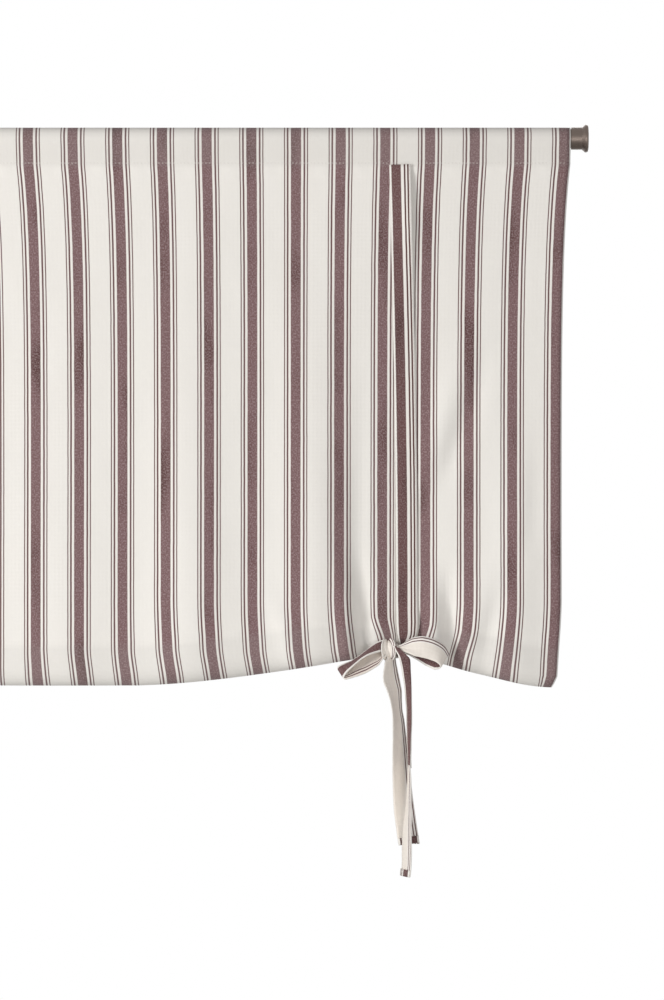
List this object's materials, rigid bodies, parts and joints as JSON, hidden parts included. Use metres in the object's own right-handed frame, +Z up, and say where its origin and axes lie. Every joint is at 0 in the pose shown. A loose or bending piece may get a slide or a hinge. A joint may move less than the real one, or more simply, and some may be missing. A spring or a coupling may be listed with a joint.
{
  "type": "roll-up curtain",
  "caption": "Striped cloth roll-up curtain hung by a pocket on a round rod with flanged end caps, its lower part rolled up and held by tied bows.",
  "frame": {"origin": "on the rod's axis, halfway along it", "axes": "+X along the rod to the right as seen from the room, +Y away from the room towards the window, +Z up"},
  "size_m": [1.2372, 0.0761, 0.7685],
  "materials": {
    "cap_metal": "brushed, dark nickel",
    "rod_metal": "brushed, dark nickel",
    "panel_cloth": "plain weave with plum ticking stripes",
    "tie_cloth": "folded band of the same striped cloth"
  },
  "bodies": {
    "rod": {"curtain_rod": "rod_metal"},
    "curtain": {"curtain_panel": "panel_cloth", "right_front_tie": "tie_cloth", "right_back_tie": "tie_cloth", "left_front_tie": "tie_cloth", "left_back_tie": "tie_cloth"},
    "right_cap": {"right_end_cap": "cap_metal"},
    "left_cap": {"left_end_cap": "cap_metal"}
  },
  "joints": [
    {"name": "curtain_swing", "type": "hinge", "parent": "rod", "child": "curtain", "pos_m": [0, 0, 0], "axis": [1, 0, 0], "range_deg": [-75, 75]},
    {"name": "right_cap_pull", "type": "slide", "parent": "rod", "child": "right_cap", "axis": [1, 0, 0], "range_m": [0, 0.03]},
    {"name": "left_cap_pull", "type": "slide", "parent": "rod", "child": "left_cap", "axis": [-1, 0, 0], "range_m": [0, 0.03]}
  ]
}
